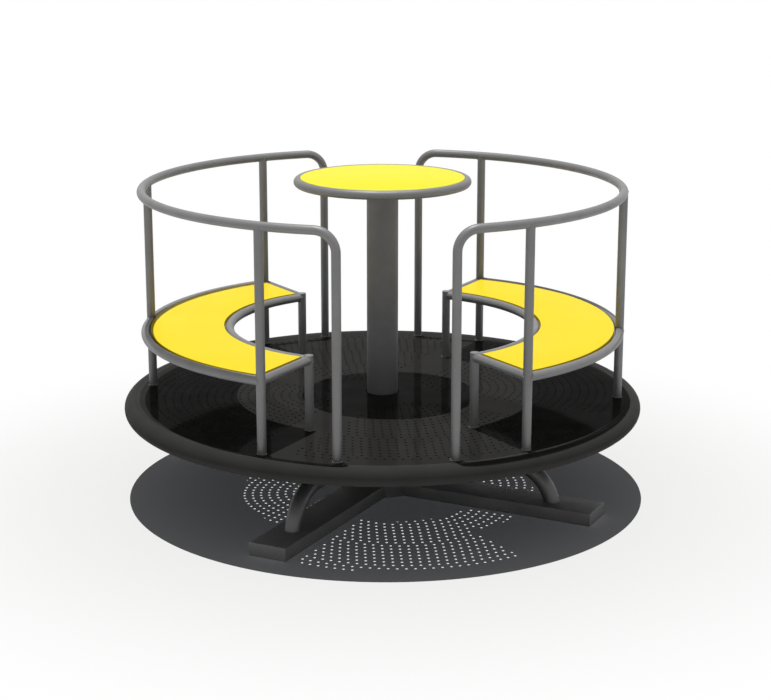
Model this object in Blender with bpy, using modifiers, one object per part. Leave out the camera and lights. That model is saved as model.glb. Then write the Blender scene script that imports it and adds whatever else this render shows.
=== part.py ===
"""A playground carousel: a round deck that spins on a cross base, with two curved benches and a fixed table.

Metres, +Z up. The origin is on the floor under the middle of the deck, and the benches stand on the X axis.
"""

import math

import bmesh
import bpy
from mathutils import Matrix, Vector

# Driving dimensions
DECK_DIAMETER = 2.0
DECK_TOP = 0.3915
DECK_THICKNESS = 0.005
RIM_TUBE_RADIUS = 0.0347
RIM_HEIGHT = 0.3592
FRAME_TUBE_RADIUS = 0.0165
FRAME_RING_RADIUS = 0.9107
RAIL_HEIGHT = 1.1953
RAIL_BEND_RADIUS = 0.077
SEAT_HEIGHT = 0.6538
SEAT_INNER_RADIUS = 0.590
COLUMN_RADIUS = 0.0603
TABLE_RING_HEIGHT = 1.2175
TABLE_RING_RADIUS = 0.3199
TABLE_TUBE_RADIUS = 0.018
BEAM_LENGTH_FROM_CENTRE = 0.90
BEAM_WIDTH = 0.15
BEAM_HEIGHT = 0.05
STAY_TUBE_RADIUS = 0.03015
STAY_REACH = 0.722
STAY_BEND_RADIUS = 0.17
STAY_BEND_CENTRE_HEIGHT = 0.01
DRUM_RADIUS = 0.147

# Angles in degrees, counted from the middle of each bench or from the X axis
RAIL_END_ANGLE = 77.1
SEAT_END_ANGLE = 59.5
INNER_LEG_TURN = 0.75
OUTER_POST_ANGLE = -8.65
STRAP_ANGLES = (-42.0, 0.0, 42.0)
CARRIER_END_ANGLE = 48.0
SHARP_ANGLE = 40.0
BEAM_ANGLES = (60.0, 150.0, 240.0, 330.0)
BENCHES = (("right", 0.0), ("left", 180.0))

# Clearances and plate sizes
JOINT_GAP = 0.0004
RUNNING_CLEARANCE = 0.005
PANEL_GAP = 0.004
PANEL_THICKNESS = 0.015
LEG_RISE = 0.003
WELD_GAP = 0.0015
STRAP_THICKNESS = 0.005
STRAP_WIDTH = 0.04
RIB_WIDTH = BEAM_WIDTH
RIB_DEPTH = BEAM_HEIGHT
HUB_RADIUS = 0.16
HUB_DEPTH = 0.08
SPIDER_THICKNESS = 0.008
SPIDER_PLATE_RADIUS = 0.11
PANEL_BELOW_TUBE_TOP = 0.0008
TABLE_BELOW_TUBE_TOP = 0.002

# Facets: arcs have a point every ARC_STEP degrees, which divides the rim's facets evenly
ARC_STEP = 5.0
TUBE_SIDES_RESOLUTION = 3
POST_SIDES = 12
RIM_SIDES = 12
ROUND_SIDES = 72
COLUMN_SIDES = 36
TABLE_RING_SIDES = 10
ELBOW_STEPS = 8
PANEL_EDGE_STEPS = 4

DECK_BOTTOM = DECK_TOP - DECK_THICKNESS
RIM_CENTRE_RADIUS = DECK_DIAMETER / 2 - RIM_TUBE_RADIUS
BORE_RADIUS = COLUMN_RADIUS + RUNNING_CLEARANCE
PANEL_TOP = SEAT_HEIGHT + FRAME_TUBE_RADIUS - PANEL_BELOW_TUBE_TOP
PANEL_BOTTOM = PANEL_TOP - PANEL_THICKNESS
PANEL_EDGE = FRAME_TUBE_RADIUS + PANEL_GAP
LEG_TOP = SEAT_HEIGHT + FRAME_TUBE_RADIUS + LEG_RISE
POST_FOOT = DECK_TOP + JOINT_GAP
TABLE_TOP = TABLE_RING_HEIGHT + TABLE_TUBE_RADIUS - TABLE_BELOW_TUBE_TOP
TABLE_PANEL_BOTTOM = TABLE_TOP - PANEL_THICKNESS
HUB_TOP = DECK_BOTTOM - JOINT_GAP
HUB_BOTTOM = HUB_TOP - HUB_DEPTH
DRUM_TOP = HUB_BOTTOM - RUNNING_CLEARANCE
SPIDER_TOP = TABLE_PANEL_BOTTOM - JOINT_GAP


def clear_scene():
    for found in list(bpy.data.objects):
        bpy.data.objects.remove(found, do_unlink=True)


def new_collection(name, hidden=False):
    collection = bpy.data.collections.new(name)
    collection.hide_render = hidden
    bpy.context.scene.collection.children.link(collection)
    return collection


def new_material(name, colour, roughness, metallic):
    material = bpy.data.materials.new(name)
    material.use_nodes = True
    shader = material.node_tree.nodes["Principled BSDF"]
    shader.inputs["Base Color"].default_value = (*colour, 1.0)
    shader.inputs["Roughness"].default_value = roughness
    shader.inputs["Metallic"].default_value = metallic
    return material


clear_scene()
PARTS = new_collection("playground_carousel")
CUTTERS = new_collection("cutters", hidden=True)
GREY_STEEL = new_material("grey_coated_steel", (0.20, 0.20, 0.19), 0.35, 0.6)
BLACK_STEEL = new_material("black_coated_steel", (0.03, 0.03, 0.03), 0.25, 0.2)
BASE_STEEL = new_material("base_coated_steel", (0.13, 0.13, 0.13), 0.5, 0.5)
YELLOW_PANEL = new_material("yellow_panel", (0.95, 0.72, 0.03), 0.4, 0.0)


def polar(radius, degrees, height=0.0):
    angle = math.radians(degrees)
    return Vector((radius * math.cos(angle), radius * math.sin(angle), height))


def add_object(name, mesh, material):
    """A named object in the parts' collection, or a cutter where no material is given."""
    made = bpy.data.objects.new(name, mesh)
    if material is None:
        CUTTERS.objects.link(made)
        made.hide_render = True
        made.display_type = "WIRE"
    else:
        PARTS.objects.link(made)
        mesh.materials.append(material)
        mesh.shade_smooth()
        mesh.set_sharp_from_angle(angle=math.radians(SHARP_ANGLE))
    return made


def mesh_of(curve_object):
    """The mesh that a curve object makes, with its caps welded on; the curve is removed."""
    bpy.context.view_layer.update()
    graph = bpy.context.evaluated_depsgraph_get()
    mesh = bpy.data.meshes.new_from_object(curve_object.evaluated_get(graph))
    shape = bmesh.new()
    shape.from_mesh(mesh)
    bmesh.ops.remove_doubles(shape, verts=shape.verts, dist=0.00001)
    bmesh.ops.recalc_face_normals(shape, faces=shape.faces)
    shape.to_mesh(mesh)
    shape.free()
    mesh.materials.clear()
    bpy.data.objects.remove(curve_object, do_unlink=True)
    return mesh


def tube(name, points, radius, material=None):
    """A round tube along the points, closed by flat ends."""
    curve = bpy.data.curves.new(name, "CURVE")
    curve.dimensions = "3D"
    curve.bevel_depth = radius
    curve.bevel_resolution = TUBE_SIDES_RESOLUTION
    curve.use_fill_caps = True
    spline = curve.splines.new("POLY")
    spline.points.add(len(points) - 1)
    for point, place in zip(spline.points, points):
        point.co = (*place, 1.0)
    drawn = bpy.data.objects.new(name + "_path", curve)
    PARTS.objects.link(drawn)
    return add_object(name, mesh_of(drawn), material)


def flat_outline(name, points, bottom, top, material=None):
    """A plate with this outline, seen from above."""
    curve = bpy.data.curves.new(name, "CURVE")
    curve.dimensions = "2D"
    curve.fill_mode = "BOTH"
    curve.extrude = (top - bottom) / 2
    spline = curve.splines.new("POLY")
    spline.points.add(len(points) - 1)
    for point, place in zip(spline.points, points):
        point.co = (place.x, place.y, 0.0, 1.0)
    spline.use_cyclic_u = True
    drawn = bpy.data.objects.new(name + "_outline", curve)
    PARTS.objects.link(drawn)
    mesh = mesh_of(drawn)
    mesh.transform(Matrix.Translation((0, 0, (top + bottom) / 2)))
    return add_object(name, mesh, material)


def ring_tube(name, centre_radius, tube_radius, height, sides, material):
    bpy.ops.mesh.primitive_torus_add(
        major_segments=ROUND_SIDES,
        minor_segments=sides,
        major_radius=centre_radius,
        minor_radius=tube_radius,
        location=(0, 0, height),
    )
    made = bpy.context.active_object
    for collection in list(made.users_collection):
        collection.objects.unlink(made)
    PARTS.objects.link(made)
    made.name = name
    made.data.materials.append(material)
    made.data.shade_smooth()
    return made


def upright(name, place, bottom, top, radius, sides, material=None):
    """A round post that stands at this place."""
    mesh = bpy.data.meshes.new(name)
    shape = bmesh.new()
    bmesh.ops.create_cone(
        shape, cap_ends=True, segments=sides, radius1=radius, radius2=radius, depth=top - bottom
    )
    shape.to_mesh(mesh)
    shape.free()
    made = add_object(name, mesh, material)
    made.location = (place.x, place.y, (top + bottom) / 2)
    return made


def bar(name, start, finish, width, bottom, top, material=None):
    """A straight flat bar from one place to another."""
    mesh = bpy.data.meshes.new(name)
    shape = bmesh.new()
    bmesh.ops.create_cube(shape, size=1.0)
    run = (finish - start).to_2d()
    bmesh.ops.scale(shape, vec=(run.length, width, top - bottom), verts=shape.verts)
    shape.to_mesh(mesh)
    shape.free()
    made = add_object(name, mesh, material)
    middle = (start + finish) / 2
    made.location = (middle.x, middle.y, (bottom + top) / 2)
    made.rotation_euler.z = math.atan2(run.y, run.x)
    return made


def turned(name, profile, sides, material=None):
    """A shape turned about the Z axis from a closed profile of (radius, height) points."""
    mesh = bpy.data.meshes.new(name)
    corners = [(radius, 0.0, height) for radius, height in profile]
    edges = [(i, (i + 1) % len(corners)) for i in range(len(corners))]
    mesh.from_pydata(corners, edges, [])
    made = add_object(name, mesh, material)
    screw = made.modifiers.new("turn", "SCREW")
    screw.axis = "Z"
    screw.steps = sides
    screw.render_steps = sides
    screw.use_merge_vertices = True
    screw.merge_threshold = 0.0001
    screw.use_smooth_shade = False
    return made


def ring_profile(inner, outer, bottom, top):
    return [(outer, top), (outer, bottom), (inner, bottom), (inner, top)]


def join_or_cut(piece, others, operation):
    for other in others:
        change = piece.modifiers.new(other.name, "BOOLEAN")
        change.operation = operation
        change.solver = "EXACT"
        change.object = other


def arc_points(radius, start, end, height):
    count = max(2, round(abs(end - start) / ARC_STEP))
    return [polar(radius, start + (end - start) * i / count, height) for i in range(count + 1)]


def make_base():
    """The cross of beams, the drum, the bent stays and the column: all that stands still."""
    middle = Vector((0, 0, 0))
    upright("base_drum", middle, 0.0, DRUM_TOP, DRUM_RADIUS, COLUMN_SIDES, BASE_STEEL)
    drum_space = upright("drum_space", middle, -BEAM_HEIGHT, DRUM_TOP, DRUM_RADIUS + JOINT_GAP, COLUMN_SIDES)
    for number, degrees in enumerate(BEAM_ANGLES, 1):
        ends = (polar(DRUM_RADIUS / 2, degrees), polar(BEAM_LENGTH_FROM_CENTRE, degrees))
        beam = bar(f"base_beam_{number}", *ends, BEAM_WIDTH, 0.0, BEAM_HEIGHT, BASE_STEEL)
        join_or_cut(beam, [drum_space], "DIFFERENCE")
        beam_space = bar(
            f"beam_space_{number}", *ends, BEAM_WIDTH, -BEAM_HEIGHT, BEAM_HEIGHT + JOINT_GAP
        )
        stay = tube(f"base_stay_{number}", stay_points(degrees), STAY_TUBE_RADIUS, BASE_STEEL)
        join_or_cut(stay, [drum_space, beam_space], "DIFFERENCE")
    column_top = SPIDER_TOP - SPIDER_THICKNESS - JOINT_GAP
    upright(
        "table_column", middle, DRUM_TOP + JOINT_GAP, column_top, COLUMN_RADIUS, COLUMN_SIDES, GREY_STEEL
    )


def stay_points(degrees):
    """A quarter bend that rises out of a beam, then a level stretch into the drum."""
    points = []
    for step in range(ELBOW_STEPS + 1):
        turn = math.pi / 2 * step / ELBOW_STEPS
        inwards = STAY_BEND_RADIUS * (1 - math.cos(turn))
        upwards = STAY_BEND_RADIUS * math.sin(turn)
        points.append(polar(STAY_REACH - inwards, degrees, STAY_BEND_CENTRE_HEIGHT + upwards))
    points.append(polar(DRUM_RADIUS / 2, degrees, points[-1].z))
    return points


def make_table():
    """The round table on the column: a steel spider, a tube ring and a panel that lies in the ring."""
    spider_bottom = SPIDER_TOP - SPIDER_THICKNESS
    spider = upright(
        "table_spider",
        Vector((0, 0, 0)),
        spider_bottom,
        SPIDER_TOP,
        SPIDER_PLATE_RADIUS,
        COLUMN_SIDES,
        GREY_STEEL,
    )
    reach = TABLE_RING_RADIUS - TABLE_TUBE_RADIUS - WELD_GAP
    arms = [
        bar(f"spider_arm_{number}", -end, end, STRAP_WIDTH, spider_bottom, SPIDER_TOP)
        for number, end in enumerate((polar(reach, 0.0), polar(reach, 90.0)), 1)
    ]
    join_or_cut(spider, arms, "UNION")
    ring_tube(
        "table_ring", TABLE_RING_RADIUS, TABLE_TUBE_RADIUS, TABLE_RING_HEIGHT, TABLE_RING_SIDES, GREY_STEEL
    )
    turned("table_top", table_profile(), ROUND_SIDES, YELLOW_PANEL)


def table_profile():
    """Half a section of the table's panel, whose edge follows the round of the ring tube."""
    profile = [(0.0, TABLE_TOP)]
    reach = TABLE_TUBE_RADIUS + WELD_GAP
    for step in range(PANEL_EDGE_STEPS + 1):
        height = TABLE_TOP - PANEL_THICKNESS * step / PANEL_EDGE_STEPS
        rise = height - TABLE_RING_HEIGHT
        profile.append((TABLE_RING_RADIUS - math.sqrt(reach**2 - rise**2), height))
    profile.append((0.0, TABLE_PANEL_BOTTOM))
    return profile


def make_platform():
    """The deck plate, its tube rim, and the hub and ribs that carry it."""
    deck_edge = RIM_CENTRE_RADIUS - math.sqrt(RIM_TUBE_RADIUS**2 - (DECK_BOTTOM - RIM_HEIGHT) ** 2)
    turned(
        "deck_plate",
        ring_profile(BORE_RADIUS, deck_edge - JOINT_GAP, DECK_BOTTOM, DECK_TOP),
        ROUND_SIDES,
        BLACK_STEEL,
    )
    ring_tube("rim_tube", RIM_CENTRE_RADIUS, RIM_TUBE_RADIUS, RIM_HEIGHT, RIM_SIDES, BLACK_STEEL)
    turned(
        "hub_housing",
        ring_profile(BORE_RADIUS, HUB_RADIUS, HUB_BOTTOM, HUB_TOP),
        COLUMN_SIDES,
        BLACK_STEEL,
    )
    rib_top = DECK_BOTTOM - JOINT_GAP
    rib_bottom = rib_top - RIB_DEPTH
    rib_room = turned(
        "rib_room",
        ring_profile(
            HUB_RADIUS + JOINT_GAP,
            RIM_CENTRE_RADIUS - RIM_TUBE_RADIUS - WELD_GAP,
            rib_bottom - RIB_DEPTH,
            rib_top + RIB_DEPTH,
        ),
        ROUND_SIDES,
    )
    for number, degrees in enumerate(BEAM_ANGLES, 1):
        start = polar(HUB_RADIUS / 2, degrees)
        finish = polar(RIM_CENTRE_RADIUS, degrees)
        rib = bar(f"deck_rib_{number}", start, finish, RIB_WIDTH, rib_bottom, rib_top, BLACK_STEEL)
        join_or_cut(rib, [rib_room], "INTERSECT")


def rail_points(axis):
    """The guard rail's centre line: up one end post, round the bench, and down the other."""
    bend_angle = math.degrees(RAIL_BEND_RADIUS / FRAME_RING_RADIUS)
    arc_end = RAIL_END_ANGLE - bend_angle
    end = [polar(FRAME_RING_RADIUS, RAIL_END_ANGLE, POST_FOOT)]
    for step in range(ELBOW_STEPS):
        turn = math.pi / 2 * (1 - step / ELBOW_STEPS)
        angle = arc_end + bend_angle * math.sin(turn)
        height = RAIL_HEIGHT - RAIL_BEND_RADIUS * (1 - math.cos(turn))
        end.append(polar(FRAME_RING_RADIUS, angle, height))
    arc = arc_points(FRAME_RING_RADIUS, arc_end, -arc_end, RAIL_HEIGHT)
    other_end = [Vector((point.x, -point.y, point.z)) for point in reversed(end)]
    turn_to_bench = Matrix.Rotation(math.radians(axis), 4, "Z")
    return [turn_to_bench @ point for point in end + arc + other_end]


class Bench:
    """One bench with its guard rail. Its tubes are cut where others run through them."""

    def __init__(self, side, axis):
        self.side = side
        self.axis = axis
        signs = {"front": -1, "back": 1} if side == "right" else {"front": 1, "back": -1}
        self.end_angles = {end: axis + sign * SEAT_END_ANGLE for end, sign in signs.items()}
        self.seat_ends = (axis - SEAT_END_ANGLE, axis + SEAT_END_ANGLE)
        self.outer_path = arc_points(FRAME_RING_RADIUS, *self.seat_ends, SEAT_HEIGHT)
        leg_angles = [degrees + INNER_LEG_TURN for degrees in self.seat_ends]
        self.inner_path = arc_points(SEAT_INNER_RADIUS, *leg_angles, SEAT_HEIGHT)
        self.rail_path = rail_points(axis)

    def tube(self, name, points):
        return tube(f"{self.side}_{name}", points, FRAME_TUBE_RADIUS, GREY_STEEL)

    def tube_space(self, name, points):
        return tube(f"{self.side}_{name}_space", points, FRAME_TUBE_RADIUS + JOINT_GAP)

    def post(self, name, place, bottom, top):
        return upright(
            f"{self.side}_{name}", place, bottom, top, FRAME_TUBE_RADIUS, POST_SIDES, GREY_STEEL
        )

    def post_space(self, name, place):
        radius = FRAME_TUBE_RADIUS + JOINT_GAP
        return upright(f"{self.side}_{name}_space", place, POST_FOOT, RAIL_HEIGHT, radius, POST_SIDES)

    def make(self):
        self.tube("rail", self.rail_path)
        self.rail_space = self.tube_space("rail", self.rail_path)
        outer_arc = self.tube("seat_outer_tube", self.outer_path)
        inner_arc = self.tube("seat_inner_tube", self.inner_path)
        panel_spaces = [
            self.make_end(end, degrees, outer_arc, inner_arc) for end, degrees in self.end_angles.items()
        ]
        self.make_outer_post()
        self.make_panel(panel_spaces)
        self.make_carrier()

    def make_end(self, end, degrees, outer_arc, inner_arc):
        """The posts and the cross tube at one end; gives the room that the panel leaves the tube."""
        outer = polar(FRAME_RING_RADIUS, degrees, SEAT_HEIGHT)
        inner = polar(SEAT_INNER_RADIUS, degrees + INNER_LEG_TURN, SEAT_HEIGHT)
        corner = self.post(f"{end}_corner_post", outer, POST_FOOT, RAIL_HEIGHT)
        join_or_cut(corner, [self.rail_space], "DIFFERENCE")
        self.post(f"{end}_inner_leg", inner, POST_FOOT, LEG_TOP)
        across = self.tube(f"{end}_seat_end_tube", [inner, outer])
        across_space = self.tube_space(f"{end}_end", [inner, outer])
        outer_space = self.post_space(f"{end}_outer", outer)
        inner_space = self.post_space(f"{end}_inner", inner)
        join_or_cut(across, [outer_space, inner_space], "DIFFERENCE")
        join_or_cut(outer_arc, [outer_space, across_space], "DIFFERENCE")
        join_or_cut(inner_arc, [inner_space, across_space], "DIFFERENCE")
        return bar(
            f"{self.side}_{end}_panel_end_space",
            inner,
            outer,
            2 * PANEL_EDGE,
            PANEL_BOTTOM - PANEL_GAP,
            PANEL_TOP + PANEL_GAP,
        )

    def make_outer_post(self):
        """The post behind the bench, which the seat's outer tube cuts in two."""
        place = polar(FRAME_RING_RADIUS, self.axis + OUTER_POST_ANGLE)
        seat_space = self.tube_space("seat", self.outer_path)
        lower = self.post("outer_post_lower", place, POST_FOOT, SEAT_HEIGHT)
        upper = self.post("outer_post_upper", place, SEAT_HEIGHT, RAIL_HEIGHT)
        join_or_cut(lower, [seat_space], "DIFFERENCE")
        join_or_cut(upper, [seat_space, self.rail_space], "DIFFERENCE")

    def make_panel(self, spaces):
        """The seat panel, which keeps an even gap to the tubes round it."""
        outline = self.outline(
            SEAT_INNER_RADIUS + PANEL_EDGE, FRAME_RING_RADIUS - PANEL_EDGE, SEAT_END_ANGLE
        )
        panel = flat_outline(f"{self.side}_seat_panel", outline, PANEL_BOTTOM, PANEL_TOP, YELLOW_PANEL)
        join_or_cut(panel, spaces, "DIFFERENCE")

    def make_carrier(self):
        """The flat steel under the panel: one curved strap, and three across it from tube to tube."""
        top = PANEL_BOTTOM - JOINT_GAP
        bottom = top - STRAP_THICKNESS
        middle = (SEAT_INNER_RADIUS + FRAME_RING_RADIUS) / 2
        inner_end = SEAT_INNER_RADIUS + FRAME_TUBE_RADIUS + WELD_GAP
        outer_end = FRAME_RING_RADIUS - FRAME_TUBE_RADIUS - WELD_GAP
        outline = self.outline(middle - STRAP_WIDTH / 2, middle + STRAP_WIDTH / 2, CARRIER_END_ANGLE)
        carrier = flat_outline(f"{self.side}_seat_carrier", outline, bottom, top, GREY_STEEL)
        straps = []
        for number, degrees in enumerate(STRAP_ANGLES, 1):
            start = polar(inner_end, self.axis + degrees)
            finish = polar(outer_end, self.axis + degrees)
            straps.append(bar(f"{self.side}_strap_{number}", start, finish, STRAP_WIDTH, bottom, top))
        join_or_cut(carrier, straps, "UNION")

    def outline(self, inner, outer, half_angle):
        """A piece of a ring, seen from above, with straight radial ends."""
        start, finish = self.axis - half_angle, self.axis + half_angle
        return arc_points(outer, start, finish, 0.0) + arc_points(inner, finish, start, 0.0)


def hang_platform_on_axis():
    """Gives all that turns one parent, an empty on the axis of the platform's bearing."""
    axis = bpy.data.objects.new("platform_axis", None)
    turning = [piece for piece in PARTS.objects if not piece.name.startswith(("base_", "table_"))]
    PARTS.objects.link(axis)
    for piece in turning:
        piece.parent = axis


def main():
    make_base()
    make_table()
    make_platform()
    for side, axis in BENCHES:
        Bench(side, axis).make()
    hang_platform_on_axis()


main()
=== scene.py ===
"""A playground carousel, dressed: coated steel tubes, a perforated black deck and yellow plastic boards."""

import math

import bmesh
import bpy
from mathutils import Matrix, Vector


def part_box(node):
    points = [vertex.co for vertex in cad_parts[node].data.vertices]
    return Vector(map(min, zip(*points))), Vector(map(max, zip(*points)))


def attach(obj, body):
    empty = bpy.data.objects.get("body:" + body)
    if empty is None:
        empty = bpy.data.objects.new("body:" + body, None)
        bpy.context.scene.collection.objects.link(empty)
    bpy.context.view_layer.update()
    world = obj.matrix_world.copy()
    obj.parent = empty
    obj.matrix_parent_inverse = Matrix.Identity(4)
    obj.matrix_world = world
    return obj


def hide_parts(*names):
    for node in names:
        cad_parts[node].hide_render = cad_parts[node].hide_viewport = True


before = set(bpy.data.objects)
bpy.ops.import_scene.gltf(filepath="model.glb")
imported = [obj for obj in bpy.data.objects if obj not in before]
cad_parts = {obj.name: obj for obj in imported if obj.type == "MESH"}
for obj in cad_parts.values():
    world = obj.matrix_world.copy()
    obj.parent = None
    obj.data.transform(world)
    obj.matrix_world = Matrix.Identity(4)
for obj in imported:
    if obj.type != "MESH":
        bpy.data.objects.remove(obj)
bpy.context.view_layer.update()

bl_info = {
    "name": "Playground Carousel",
    "version": (1, 0, 0),
    "blender": (4, 5, 0),
    "location": "View3D > Sidebar > Carousel",
    "description": "Builds the finished pieces of a playground carousel around its solid frame",
    "category": "Object",
}


def size_of(node):
    low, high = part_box(node)
    return high - low


def middle_of(node):
    low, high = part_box(node)
    return (low + high) / 2


# Sizes read from the frame, in metres
DECK_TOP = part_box("deck_plate")[1].z
DECK_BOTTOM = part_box("deck_plate")[0].z
DECK_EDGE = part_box("deck_plate")[1].x
RIM_TUBE_RADIUS = size_of("rim_tube").z / 2
RIM_HEIGHT = middle_of("rim_tube").z
RIM_CENTRE_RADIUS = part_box("rim_tube")[1].x - RIM_TUBE_RADIUS
TUBE_RADIUS = size_of("right_front_corner_post").x / 2
RING_RADIUS = middle_of("right_front_corner_post").xy.length
INNER_RADIUS = middle_of("right_front_inner_leg").xy.length
LEG_TURN = (
    math.degrees(math.atan2(*reversed(middle_of("right_back_inner_leg").xy)))
    - math.degrees(math.atan2(*reversed(middle_of("right_back_corner_post").xy)))
)
SEAT_HEIGHT = middle_of("right_seat_outer_tube").z
RAIL_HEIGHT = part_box("right_rail")[1].z - size_of("right_seat_outer_tube").z / 2
LEG_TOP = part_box("right_front_inner_leg")[1].z
PANEL_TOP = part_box("right_seat_panel")[1].z
PANEL_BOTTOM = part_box("right_seat_panel")[0].z
COLUMN_RADIUS = size_of("table_column").x / 2
COLUMN_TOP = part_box("table_column")[1].z
COLUMN_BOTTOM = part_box("table_column")[0].z
TABLE_TUBE_RADIUS = size_of("table_ring").z / 2
TABLE_RING_HEIGHT = middle_of("table_ring").z
TABLE_RING_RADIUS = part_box("table_ring")[1].x - TABLE_TUBE_RADIUS
TABLE_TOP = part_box("table_top")[1].z
TABLE_BOARD_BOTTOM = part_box("table_top")[0].z
SPIDER_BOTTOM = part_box("table_spider")[0].z
CARRIER_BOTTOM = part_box("right_seat_carrier")[0].z
BEAM_HEIGHT = size_of("base_beam_1").z
DRUM_RADIUS = size_of("base_drum").x / 2
DRUM_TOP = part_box("base_drum")[1].z
HUB_RADIUS = size_of("hub_housing").x / 2
HUB_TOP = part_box("hub_housing")[1].z
HUB_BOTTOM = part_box("hub_housing")[0].z

# Angles of the frame, in degrees
SEAT_END_ANGLE = math.degrees(math.atan2(*reversed(middle_of("right_back_corner_post").xy)))
OUTER_POST_ANGLE = math.degrees(math.atan2(*reversed(middle_of("right_outer_post_upper").xy)))
RAIL_END_ANGLE = 77.1
BEAM_ANGLES = (60.0, 150.0, 240.0, 330.0)
BENCHES = (("right", 0.0), ("left", 180.0))

# Route of the bent tubes, in metres
RAIL_BEND_RADIUS = 0.077
STAY_TUBE_RADIUS = 0.03015
STAY_REACH = 0.722
STAY_BEND_RADIUS = 0.17
STAY_BEND_CENTRE_HEIGHT = 0.01
BEAM_LENGTH_FROM_CENTRE = 0.90
BEAM_WIDTH = 0.15

# Ledges and bolts of the seats and the hub, in metres and degrees
LEDGE_WIDTH = 0.012
LEDGE_THICKNESS = 0.003
LEDGE_GAP = 0.0002
BOLT_ANGLES = (-42.0, 0.0, 42.0)
STRAP_BOLT_RADII = (0.655, 0.845)
HUB_BOLT_RADIUS = 0.115

# The photograph's camera, in metres and degrees, and its frame in pixels
PHOTO_WIDTH = 771
PHOTO_HEIGHT = 700
CAMERA_FOCAL_PIXELS = 1814.33
CAMERA_CENTRE_PIXELS = (382.49, 339.43)
CAMERA_DISTANCE = 6.8296
CAMERA_HEIGHT = 2.3204
CAMERA_PITCH = 14.159
BENCH_TURN = 3.09
SUN_LEAN = (0.0332, -0.0679)
SUN_STRENGTH = 3.1
SKY_STRENGTH = 0.10
# Painted fill light: the floor itself glows faintly blue, lifting the shade under the deck.
FLOOR_GLOW = 0.022


class CarouselSizes(bpy.types.PropertyGroup):
    """Sizes that the frame doesn't fix."""

    tube_sides: bpy.props.IntProperty(
        name="Tube sides", description="Facets round a frame tube", default=32, min=8, max=64
    )
    ring_pitch: bpy.props.FloatProperty(
        name="Ring pitch", description="Distance between the rings of holes", default=0.032, unit="LENGTH"
    )
    hole_diameter: bpy.props.FloatProperty(
        name="Hole diameter", description="Width of a drain hole in the deck", default=0.0095, unit="LENGTH"
    )
    bead_radius: bpy.props.FloatProperty(
        name="Weld bead", description="Radius of a weld bead under the coat", default=0.0018, unit="LENGTH"
    )
    board_gap: bpy.props.FloatProperty(
        name="Board gap", description="Gap between a seat board and the tubes", default=0.004, unit="LENGTH"
    )
    table_gap: bpy.props.FloatProperty(
        name="Table gap", description="Gap between the table's board and its ring", default=0.0006,
        unit="LENGTH",
    )
    board_round: bpy.props.FloatProperty(
        name="Board edge", description="Rounding of a board's top edge", default=0.0012, unit="LENGTH"
    )


class CarouselFinishes(bpy.types.PropertyGroup):
    """Colours of the finishes."""

    grey: bpy.props.FloatVectorProperty(
        name="Grey coat", description="Coat of the tubes", subtype="COLOR", size=3, default=(0.238, 0.238, 0.24)
    )
    # Painted shade: the column's coat is a darker copy of the tubes' grey coat, standing for the shade on the
    # column.
    column_shaded_grey: bpy.props.FloatVectorProperty(
        name="Column coat", description="Coat of the table's column", subtype="COLOR", size=3,
        default=(0.178, 0.178, 0.18),
    )
    stay_grey: bpy.props.FloatVectorProperty(
        name="Stay coat", description="Coat of the bent stays and the drum", subtype="COLOR", size=3,
        default=(0.135, 0.135, 0.135),
    )
    # Painted light: the beams' coat is a lighter copy of the base coat on the stays and the drum, standing for the
    # light on the beams.
    beam_lit_grey: bpy.props.FloatVectorProperty(
        name="Beam coat", description="Coat of the beams on the ground", subtype="COLOR", size=3,
        default=(0.20, 0.20, 0.20),
    )
    black: bpy.props.FloatVectorProperty(
        name="Rim coat", description="Coat of the rim and the frame under the deck", subtype="COLOR", size=3,
        default=(0.044, 0.0432, 0.042),
    )
    deck: bpy.props.FloatVectorProperty(
        name="Deck coat", description="Coat of the deck plate", subtype="COLOR", size=3,
        default=(0.0225, 0.0219, 0.0209),
    )
    seat_yellow: bpy.props.FloatVectorProperty(
        name="Seat yellow", description="Plastic board of the seats", subtype="COLOR", size=3,
        default=(0.97, 0.745, 0.026),
    )
    # Painted light: the table's yellow is a lighter copy of the seats' yellow plastic, standing for the stronger
    # light on the table.
    table_lit_yellow: bpy.props.FloatVectorProperty(
        name="Table yellow", description="Plastic board of the table", subtype="COLOR", size=3,
        default=(0.93, 0.87, 0.042),
    )
    floor: bpy.props.FloatVectorProperty(
        name="Floor", description="Pale floor", subtype="COLOR", size=3, default=(0.80, 0.797, 0.79)
    )


def sizes():
    return bpy.context.scene.carousel_sizes


def finishes():
    return bpy.context.scene.carousel_finishes


def polar(radius, degrees, height=0.0):
    angle = math.radians(degrees)
    return Vector((radius * math.cos(angle), radius * math.sin(angle), height))


# Materials

# Painted shade: the yellow boards' underside is coloured dark warm grey, so it and its reflection in the deck look
# shaded.
PAINTED_SHADE_UNDERSIDE = (0.16, 0.15, 0.13)


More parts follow.
